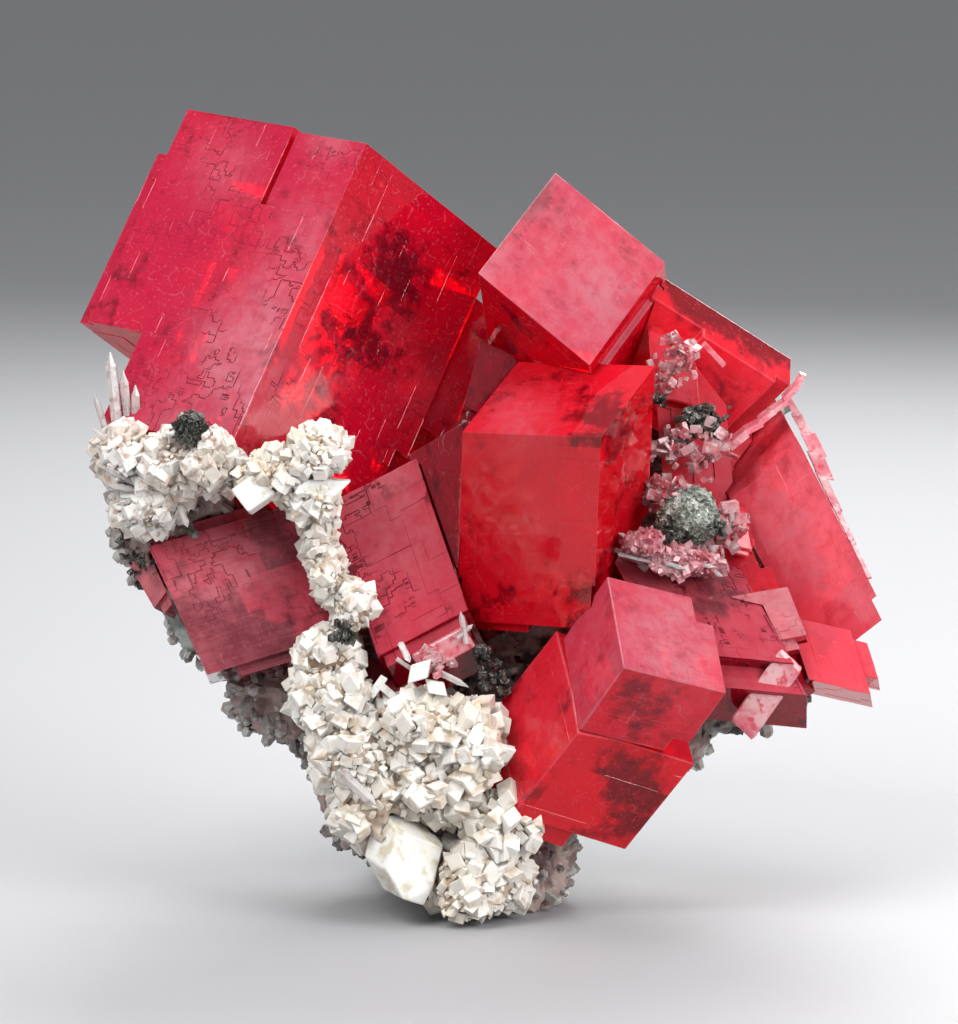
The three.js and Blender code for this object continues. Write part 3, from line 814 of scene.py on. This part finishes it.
def shape_of(node):
    """A node's surface, for finding what lies near it or behind a place."""
    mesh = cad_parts[node].data
    points = [vertex.co for vertex in mesh.vertices]
    return BVHTree.FromPolygons(points, [tuple(face.vertices) for face in mesh.polygons])


def leaves_bare(surface, place, reach):
    """True when a small crystal at this place would touch a clean crystal or hide it from the front."""
    away = on_face_frame(0, 1, 0).normalized()
    return surface.find_nearest(place, reach)[0] is not None or surface.ray_cast(place, away)[0] is not None


CRUSTS = {
    # node: (base name, crystal name, spacing mm, size mm, seed)
    "druse_column": ("druse_bed_column", "druse_rhombs_column", 1.1, 2.2, 31),
    "druse_upper": ("druse_bed_upper", "druse_rhombs_upper", 1.0, 1.7, 32),
    "druse_left": ("druse_bed_left", "druse_rhombs_left", 1.05, 1.9, 33),
    "druse_pink": ("druse_bed_pink", "druse_rhombs_pink", 0.9, 1.2, 34),
}


class SPECIMEN_OT_druse(Operator):
    """Build the white, cream and pink crusts of small rhombs"""

    bl_idname = "specimen.druse"
    bl_label = "Druse"

    def execute(self, context):
        white = rock_material("druse_white", ((0.66, 0.61, 0.53), (0.76, 0.73, 0.68), (0.54, 0.44, 0.33)),
                              70, (0.25, 0.5), 0.15)
        # painted shade: the bed under the small rhombs is a darker brown so the gaps between them look shaded
        crevice_shade = rock_material("druse_crevice", ((0.34, 0.24, 0.17), (0.46, 0.38, 0.30), (0.20, 0.13, 0.09)),
                                120, (0.4, 0.7), 0.25)
        cream = rock_material("druse_cream", ((0.60, 0.54, 0.47), (0.74, 0.72, 0.68), (0.42, 0.30, 0.25)),
                              110, (0.3, 0.6), 0.25)
        pink = rock_material("druse_blush", ((0.62, 0.14, 0.18), (0.82, 0.45, 0.47), (0.40, 0.05, 0.09)),
                             220, (0.08, 0.35), 0.12, clear=0.45)
        for material in (white, cream, pink):
            shader = material.node_tree.nodes["Principled BSDF"]
            shader.inputs["Subsurface Weight"].default_value = 0.15
            shader.inputs["Subsurface Radius"].default_value = (0.004, 0.003, 0.0025)
        finish = {"druse_column": white, "druse_upper": white, "druse_left": cream, "druse_pink": pink}
        shape = small_rhomb()
        clean = shape_of("calcite_great")
        for node, (bed_name, name, spacing, size, seed) in CRUSTS.items():
            rng = random.Random(seed)
            bed = crust_base(node, bed_name, 0.55, 0.35, seed)
            finish_piece(bed, [node], pink if node == "druse_pink" else crevice_shade)
            places = []
            for place, normal in surface_points(node, spacing * MM, rng, tries=14000):
                edge = size * MM * rng.choice((0.35, 0.45, 0.55, 0.7, 0.85, 1.3))
                if place.z < edge * 1.1 or leaves_bare(clean, place, edge * 0.6):
                    continue
                places.append((place + normal * edge * 0.12, turned(normal, rng) @ Matrix.Scale(edge, 3)))
            crust = joined_copies(name, shape, places)
            finish_piece(crust, [], finish[node])
        return {"FINISHED"}


# Corners cut off the great calcite: how much of it stays, and the way the cut faces, in the upright cluster.
CALCITE_CUTS = (
    (0.86, (0.55, -0.35, 0.75)),
    (0.80, (-0.75, -0.45, -0.55)),
    (0.88, (-0.35, 0.2, 0.9)),
    (0.90, (0.6, -0.7, -0.4)),
)


class SPECIMEN_OT_calcite(Operator):
    """Build the great white calcite crystal at the foot"""

    bl_idname = "specimen.calcite"
    bl_label = "Great calcite"

    def execute(self, context):
        settings = context.scene.specimen
        piece = copy_node("calcite_great", "crystal_calcite_great")
        normals = lattice_normals(piece.data)
        for share, direction in CALCITE_CUTS:
            facing = face_turn() @ Vector(direction)
            levels = [facing.dot(vertex.co) for vertex in piece.data.vertices]
            level = min(levels) + (max(levels) - min(levels)) * share
            bpy.ops.object.mode_set(mode="EDIT")
            bpy.ops.mesh.select_all(action="SELECT")
            plane = facing * level / facing.length_squared
            bpy.ops.mesh.bisect(plane_co=plane, plane_no=facing, use_fill=True, clear_outer=True)
            bpy.ops.object.mode_set(mode="OBJECT")
        apply_modifier(piece, "BEVEL", width=settings.edge_round * 1.6, segments=3, limit_method="ANGLE",
                       angle_limit=SHARP_EDGE)
        grow_blocks(piece, normals, 2.4, random.Random(71))
        raise_steps(piece, normals, 0.05 * MM, 71)
        only(piece)
        bpy.ops.object.shade_flat()
        tones = ((0.68, 0.66, 0.61), (0.74, 0.73, 0.70), (0.55, 0.49, 0.37))
        material = rock_material("calcite_great_white", tones, 60, (0.28, 0.45), 0.06)
        shader = material.node_tree.nodes["Principled BSDF"]
        shader.inputs["Subsurface Weight"].default_value = 0.2
        shader.inputs["Subsurface Radius"].default_value = (0.006, 0.005, 0.004)
        finish_piece(piece, ["calcite_great"], material)
        return {"FINISHED"}


# Loose clusters of dark grains in the upright cluster: right, away, up, reach in mm, and number of grains.
SPECKS = (
    (36.6, -0.6, 85.4, 0.9, 34), (40.6, -0.6, 84.8, 1.3, 44), (31.2, 2.0, 89.0, 0.7, 18),
    (36.0, -1, 82.0, 0.8, 14),
    (33.0, -13.2, 65.0, 1.2, 44), (40.4, -11.5, 66.6, 0.8, 22), (-22.8, -15, 48.6, 0.9, 26),
    (0.8, -10, 44.0, 1.0, 20),
    (3.0, -6, 40.6, 1.6, 30), (-60.0, 1, 66.0, 1.2, 40), (-58.6, 2, 61.0, 1.2, 30), (54.8, -3, 38.4, 1.4, 34),
    (-50.6, -14, 82.8, 0.9, 18),
)


class SPECIMEN_OT_sulphides(Operator):
    """Build the dark sulphide growths"""

    bl_idname = "specimen.sulphides"
    bl_label = "Sulphides"

    def execute(self, context):
        dark = rock_material("sulphide_dark", ((0.035, 0.035, 0.03), (0.16, 0.16, 0.14), (0.01, 0.01, 0.01)),
                             300, (0.12, 0.4), 0.3, metal=0.55, fleck=(0.4, 0.4, 0.36))
        grey = rock_material("sulphide_grey", ((0.13, 0.14, 0.11), (0.38, 0.40, 0.36), (0.025, 0.03, 0.025)),
                             420, (0.15, 0.45), 0.3, metal=0.2)
        shape = small_rhomb()
        rng = random.Random(55)
        places = []
        for *cluster, count in SPECKS:
            for _ in range(count):
                place, turn = scattered(rng, cluster, 0.6), any_turn(rng)
                thin = rng.choice((0.35, 0.6, 1.0))
                edge = rng.choice((0.5, 0.8, 1.1)) * MM
                places.append((place, turn @ Matrix.Diagonal((edge, edge * thin, edge * 1.5))))
        finish_piece(joined_copies("sulphide_specks", shape, places), [], dark)
        for node, material, seed, spacing, size in (("sulphide_ball", grey, 51, 0.8, 1.1),
                                                    ("sulphide_recess", dark, 52, 0.7, 1.3),
                                                    ("sulphide_left", dark, 53, 0.7, 1.2)):
            rng = random.Random(seed)
            bed = crust_base(node, node + "_bed", 0.3, 0.3, seed)
            finish_piece(bed, [node], material)
            places = []
            for place, normal in surface_points(node, spacing * MM, rng, tries=2500):
                edge = size * MM * rng.choice((0.4, 0.6, 0.8, 1.0))
                places.append((place - normal * edge * 0.2, turned(normal, rng, 1.4) @ Matrix.Scale(edge, 3)))
            grains = joined_copies(node + "_grains", shape, places)
            finish_piece(grains, [], material)
        return {"FINISHED"}


# Quartz prisms: foot and tip in the upright cluster (right, away, up) and width, all in mm.
PRISMS = (
    ((-9.8, -13, 43.2), (-1.6, -15, 39.2), 1.5), ((-13.9, -14, 44.0), (-11.0, -14, 42.0), 1.0),
    ((-13.2, -13, 46.6), (-11.6, -15, 43.4), 1.2), ((-1.9, -12, 46.6), (-3.0, -13, 52.0), 1.3),
    ((-3.4, -12, 47.5), (-0.9, -13, 49.8), 1.0), ((-23.6, -16, 25.0), (-17.2, -19, 19.2), 2.5),
    ((-62.6, 2, 84.0), (-63.8, 1, 96.8), 2.3), ((-60.8, 3, 84.0), (-61.6, 1, 93.5), 1.9),
    ((-64.2, 1, 82.0), (-66.4, -1, 89.5), 1.5), ((-59.5, 3, 82.0), (-59.4, 1, 91.0), 1.6),
    ((-57.5, -9, 74.0), (-65.2, -12, 80.4), 1.5), ((-57.0, -9, 73.0), (-64.6, -13, 76.8), 1.3),
    ((-57.0, -9, 72.5), (-63.6, -12, 73.6), 1.5), ((-56.5, -8, 72.0), (-61.8, -12, 70.2), 1.3),
    ((-55.0, -8, 72.0), (-58.4, -12, 68.0), 1.4), ((-53.0, -8, 71.0), (-54.4, -12, 67.2), 1.2),
    ((-58.0, -9, 76.0), (-66.4, -9, 83.6), 1.4), ((-51.0, -10, 70.0), (-49.6, -12, 66.4), 1.2),
    ((-24.0, -10, 36.0), (-20.0, -13, 40.5), 1.3), ((23.5, -12, 62.5), (29.0, -14, 60.6), 1.1),
    ((33.0, -13, 60.5), (41.0, -14, 58.6), 1.2), ((27.0, -12, 63.8), (24.0, -14, 65.4), 1.0),
    ((24.0, -14, 61.8), (30.6, -16, 60.2), 0.9), ((29.0, -15, 61.2), (35.6, -17, 59.2), 1.0),
    ((34.0, -15, 60.4), (40.6, -16, 59.6), 0.9), ((38.6, -14, 60.0), (41.6, -15, 58.0), 1.0),
)
# White plates: corner and three edges in the upright cluster, all in mm.
PLATES = (
    ((-42.0, -18, 72.8), (4.6, 0.8, 3.2), (3.0, -0.6, -3.8), (0.4, 4, -0.6)),
    ((-29.0, -17, 74.6), (7.4, 0.4, -0.4), (-2.6, -0.4, -2.6), (0, 3, 0.4)),
    ((-19.0, -13, 37.8), (2.4, 0.2, 3.4), (1.2, 0, -0.7), (0, 2.4, 0)),
    ((-17.0, -13, 40.6), (5.4, 0.2, -4.8), (-0.7, 0, -1.1), (0, 2.4, 0)),
    ((-11.4, -17, 43.0), (3.4, 0.2, 1.0), (-0.6, -0.2, -3.2), (0.2, 3, 0)),
    ((-9.0, -16, 40.6), (3.2, 0.3, -0.6), (0.6, -0.3, -2.4), (0, 3, 0)),
)
# Pale red cleavage splinters: corner and three edges in the upright cluster, all in mm.
SPLINTERS = (
    ((-11.4, -12, 44.4), (8.8, 0.8, 4.8), (2.2, 0.2, -3.2), (0, 2.5, 0.3)),
    ((54.8, 5, 90.8), (1.3, 0.2, 2.2), (1.1, -0.3, -0.4), (0, 2, 0.6)),
    ((53.0, 4, 88.6), (2.4, 0.5, 2.6), (0.5, -0.3, -0.9), (0, 4, 1)),
    ((51.0, 3.6, 86.6), (2.8, 0.3, 1.9), (0.5, -0.3, -0.7), (0, 4, 1)),
    ((48.6, 3.2, 84.8), (3.0, 0.3, 2.3), (0.4, -0.3, -1.0), (0, 4, 1)),
    ((46.0, 2.6, 83.0), (3.2, 0.3, 1.7), (0.5, -0.3, -0.9), (0, 4, 1)),
    ((43.2, 2.0, 80.6), (3.2, 0.3, 2.6), (0.8, -0.4, -1.2), (0, 4, 1)),
    ((53.4, 12, 89.4), (2.4, -2.6, -4.4), (1.1, 0.2, 0.5), (0, 2.5, 0.3)),
    ((54.8, 9, 86.0), (2.4, -2.6, -4.6), (1.7, 0.3, 0.3), (0, 2.5, 0.3)),
    ((56.2, 5, 82.6), (2.0, -1.8, -4.2), (2.6, 0.5, 0.1), (0, 2.5, 0.3)),
    ((57.2, 2.4, 79.4), (1.9, 0.4, -4.4), (2.9, 0.5, -0.6), (0, 3, 0.3)),
    ((58.6, 2.4, 76.0), (3.2, 1.0, -6.6), (1.7, 0.5, -0.4), (0, 4, 0.3)),
    ((61.4, 3.0, 70.4), (3.6, 1.2, -7.2), (1.0, 0.4, 0.1), (0, 4, 0.3)),
    ((64.6, 4.0, 64.0), (3.4, 1.1, -6.8), (0.7, 0.3, 0.2), (0, 5, 0.3)),
    ((38.8, 1, 97.8), (3.6, 0, -3.8), (0.6, 0, 0.6), (0, 2, 0.4)),
    ((41.6, -4, 50.6), (4.2, 0.3, 1.2), (1.6, -0.3, -3.0), (0, 4, 0)),
    ((51.6, -14, 45.8), (-8.6, -0.8, -12.2), (3.8, 0.8, -3.6), (0.3, 5, 0)),
)


# Broken clear and pink bits in the upright cluster: right, away, up, reach in mm, and number of bits.
RUBBLE = (
    (32.4, 1.0, 92.6, 1.3, 26), (35.0, -1.0, 96.4, 1.6, 26), (33.0, -1.0, 80.6, 1.9, 34),
    (37.6, -1.2, 78.6, 1.9, 34), (30.6, -4.0, 72.4, 1.3, 26), (33.4, -9.5, 72.6, 1.3, 26),
    (40.6, -1.0, 81.6, 1.3, 20), (42.4, -8.0, 66.6, 1.4, 26), (29.4, -10.5, 62.6, 1.2, 26),
    (34.2, -11.5, 61.0, 1.4, 30), (39.6, -10.0, 61.6, 1.2, 22), (-7.6, -14.5, 43.4, 1.4, 18),
)


def leaned(vector):
    """A direction in the upright cluster, in mm, as one in the row frame, in metres."""
    return (face_turn() @ Vector(vector)) * MM


def plate_places(plates):
    places = []
    for corner, *edges in plates:
        sides = [leaned(edge) for edge in edges]
        centre = on_face_frame(*corner) + (sides[0] + sides[1] + sides[2]) / 2
        places.append((centre, Matrix(sides).transposed()))
    return places


class SPECIMEN_OT_quartz(Operator):
    """Build the quartz prisms, the white plates and the pale cleavage splinters"""

    bl_idname = "specimen.quartz"
    bl_label = "Quartz and splinters"

    def execute(self, context):
        quartz = rock_material("quartz_clear", ((0.80, 0.76, 0.74), (0.90, 0.88, 0.86), (0.62, 0.52, 0.50)),
                               120, (0.04, 0.22), 0.06, clear=0.6, density=40)
        broken = rock_material("broken_clear", ((0.72, 0.12, 0.16), (0.90, 0.55, 0.57), (0.86, 0.80, 0.78)),
                               240, (0.05, 0.25), 0.08, clear=0.6)
        white = rock_material("calcite_plate", ((0.66, 0.65, 0.62), (0.70, 0.70, 0.68), (0.56, 0.52, 0.44)),
                              90, (0.25, 0.45), 0.05)
        pink = rock_material("cleavage_pink", ((0.80, 0.22, 0.27), (0.88, 0.50, 0.52), (0.72, 0.08, 0.12)),
                             160, (0.1, 0.35), 0.1, clear=0.4, density=60)
        places = []
        for foot, tip, width in PRISMS:
            start, end = on_face_frame(*foot), on_face_frame(*tip)
            along = end - start
            turn = along.to_track_quat("Z", "Y").to_matrix()
            places.append((start, turn @ Matrix.Diagonal((width * MM, width * MM * 0.8, along.length))))
        piece = joined_copies("quartz_prisms", quartz_point(), places)
        finish_piece(piece, [], quartz)
        shape = small_rhomb(skewed=False)
        rng = random.Random(83)
        places = []
        for *cluster, count in RUBBLE:
            for _ in range(count):
                place, turn = scattered(rng, cluster, 0.7), any_turn(rng)
                edge = rng.choice((0.7, 1.0, 1.4, 1.9)) * MM
                flat = rng.choice((0.3, 0.5, 0.8))
                tall = rng.choice((1.0, 1.6))
                places.append((place, turn @ Matrix.Diagonal((edge, edge * flat, edge * tall))))
        finish_piece(joined_copies("broken_bits", shape, places), [], broken)
        for name, plates, material, node in (("calcite_plates", PLATES, white, "calcite_great"),
                                             ("cleavage_splinters", SPLINTERS, pink, "rhomb_right")):
            piece = joined_copies(name, shape, plate_places(plates))
            only(piece)
            bpy.ops.object.mode_set(mode="EDIT")
            bpy.ops.mesh.select_all(action="SELECT")
            bpy.ops.mesh.normals_make_consistent(inside=False)
            bpy.ops.object.mode_set(mode="OBJECT")
            finish_piece(piece, [], material)
        return {"FINISHED"}


class SPECIMEN_OT_matrix(Operator):
    """Build the rough quartz and sulphide matrix"""

    bl_idname = "specimen.matrix"
    bl_label = "Matrix"

    def execute(self, context):
        rock_surface_group()
        piece = crust_base("matrix", "matrix_rock", 1.1, 1.0, 61)
        roughen(piece, 0.45, 9, 1.3)
        only(piece)
        bpy.ops.object.shade_smooth_by_angle(angle=math.radians(30))
        finish_piece(piece, ["matrix"], matrix_material())
        quartz = rock_material("quartz_smoky", ((0.20, 0.19, 0.17), (0.60, 0.58, 0.54), (0.34, 0.24, 0.22)),
                               130, (0.08, 0.35), 0.12, clear=0.35)
        black = rock_material("sulphide_black", ((0.02, 0.02, 0.02), (0.10, 0.10, 0.09), (0.01, 0.01, 0.01)),
                              260, (0.1, 0.35), 0.2, metal=0.7)
        point, rhomb = quartz_point(), small_rhomb()
        for name, shape, finish, spacing, size, threshold, seed, stretch in (
            ("matrix_quartz", point, quartz, 2.0, 1.7, -0.05, 63, 1.7),
            ("matrix_sulphide", rhomb, black, 1.5, 1.5, 0.22, 64, 1.0),
        ):
            rng = random.Random(seed)

            def in_patch(place, normal):
                away = Vector((seed * 1.7, 0, 0))
                return place.z > 2.5 * MM and noise.noise(place / (11 * MM) + away) > threshold

            places = []
            for place, normal in surface_points("matrix", spacing * MM, rng, in_patch):
                edge = size * MM * rng.choice((0.5, 0.7, 0.9, 1.1, 1.4))
                lean = Vector((rng.uniform(-1, 1), rng.uniform(-1, 1), rng.uniform(-1, 1))) * 0.7
                turn = (normal + lean).to_track_quat("Z", "Y").to_matrix()
                size_turn = turn @ Matrix.Diagonal((edge, edge, edge * stretch))
                places.append((place - normal * edge * 0.4, size_turn))
            grains = joined_copies(name, shape, places)
            finish_piece(grains, [], finish)
        return {"FINISHED"}


# ---------------------------------------------------------------- stage


class SPECIMEN_OT_stage(Operator):
    """Build the pale floor, the soft lights and the camera"""

    bl_idname = "specimen.stage"
    bl_label = "Stage"

    def execute(self, context):
        settings = context.scene.specimen_stage
        scene = context.scene
        camera_data = bpy.data.cameras.new("camera")
        camera = bpy.data.objects.new("camera", camera_data)
        scene.collection.objects.link(camera)
        camera_data.lens = settings.lens
        camera_data.sensor_width = SENSOR_MM
        distance = settings.lens * FRAMED_HEIGHT_MM / SENSOR_MM
        aim = on_face_frame(0.17, -6, 69.0)
        back = Vector((0, -math.cos(LEAN), math.sin(LEAN)))
        camera.location = aim + back * distance * MM
        camera.rotation_mode = "QUATERNION"
        camera.rotation_quaternion = (-back).to_track_quat("-Z", "Y")
        camera_data.clip_start = 0.01
        camera_data.clip_end = 20
        scene.camera = camera

        bpy.ops.object.select_all(action="DESELECT")
        bpy.ops.mesh.primitive_plane_add(size=60.0, location=(0, 0, 0))
        floor = context.object
        floor.name = "floor"
        pale = bpy.data.materials.new("floor_pale")
        pale.use_nodes = True
        shader = pale.node_tree.nodes["Principled BSDF"]
        shader.inputs["Base Color"].default_value = (*settings.floor_colour, 1)
        shader.inputs["Roughness"].default_value = 0.6
        floor.data.materials.append(pale)

        world = bpy.data.worlds.new("studio")
        scene.world = world
        world.use_nodes = True
        sky = world.node_tree.nodes["Background"]
        sky.inputs["Color"].default_value = (0.86, 0.87, 0.9, 1)
        sky.inputs["Strength"].default_value = 0.42

        def light(name, place, size, power, colour=(1, 1, 1)):
            data = bpy.data.lights.new(name, "AREA")
            data.size = size
            data.energy = power
            data.color = colour
            lamp = bpy.data.objects.new(name, data)
            scene.collection.objects.link(lamp)
            lamp.location = place
            direction = Vector((0, 0.02, 0.07)) - Vector(place)
            lamp.rotation_euler = direction.to_track_quat("-Z", "Y").to_euler()
            return lamp

        light("key", (-0.45, -0.55, 0.75), 0.5, settings.key_power)
        light("fill", (0.70, -0.50, 0.42), 0.5, settings.key_power * 0.95)
        light("rim", (0.15, 0.65, 0.55), 0.5, settings.key_power * 0.8)
        light("top", (0.0, 0.0, 0.9), 0.6, settings.key_power * 0.5)
        scene.view_settings.view_transform = "Standard"
        scene.view_settings.look = "None"
        scene.cycles.max_bounces = 6
        scene.cycles.diffuse_bounces = 2
        scene.cycles.glossy_bounces = 3
        scene.cycles.transmission_bounces = 6
        scene.cycles.volume_bounces = 0
        scene.cycles.blur_glossy = 1.0
        scene.cycles.use_adaptive_sampling = True
        scene.cycles.adaptive_threshold = 0.15
        return {"FINISHED"}


# ---------------------------------------------------------------- panel and registration


STEPS = ("stage", "matrix", "rhombs", "druse", "calcite", "quartz", "sulphides")


class SPECIMEN_PT_panel(Panel):
    """Lists the specimen's pieces in the order they are built"""

    bl_label = "Rhodochrosite Specimen"
    bl_idname = "SPECIMEN_PT_panel"
    bl_space_type = "VIEW_3D"
    bl_region_type = "UI"
    bl_category = "Specimen"

    def draw(self, context):
        for step in STEPS:
            self.layout.operator(f"specimen.{step}")


CLASSES = (
    SpecimenSettings, StageSettings, SPECIMEN_OT_stage, SPECIMEN_OT_matrix, SPECIMEN_OT_rhombs,
    SPECIMEN_OT_druse, SPECIMEN_OT_calcite, SPECIMEN_OT_quartz, SPECIMEN_OT_sulphides, SPECIMEN_PT_panel,
)


def register():
    for item in CLASSES:
        bpy.utils.register_class(item)
    bpy.types.Scene.specimen = PointerProperty(type=SpecimenSettings)
    bpy.types.Scene.specimen_stage = PointerProperty(type=StageSettings)


def unregister():
    del bpy.types.Scene.specimen_stage
    del bpy.types.Scene.specimen
    for item in reversed(CLASSES):
        bpy.utils.unregister_class(item)


def main():
    register()
    for step in STEPS:
        getattr(bpy.ops.specimen, step)()


if __name__ == "__main__":
    main()
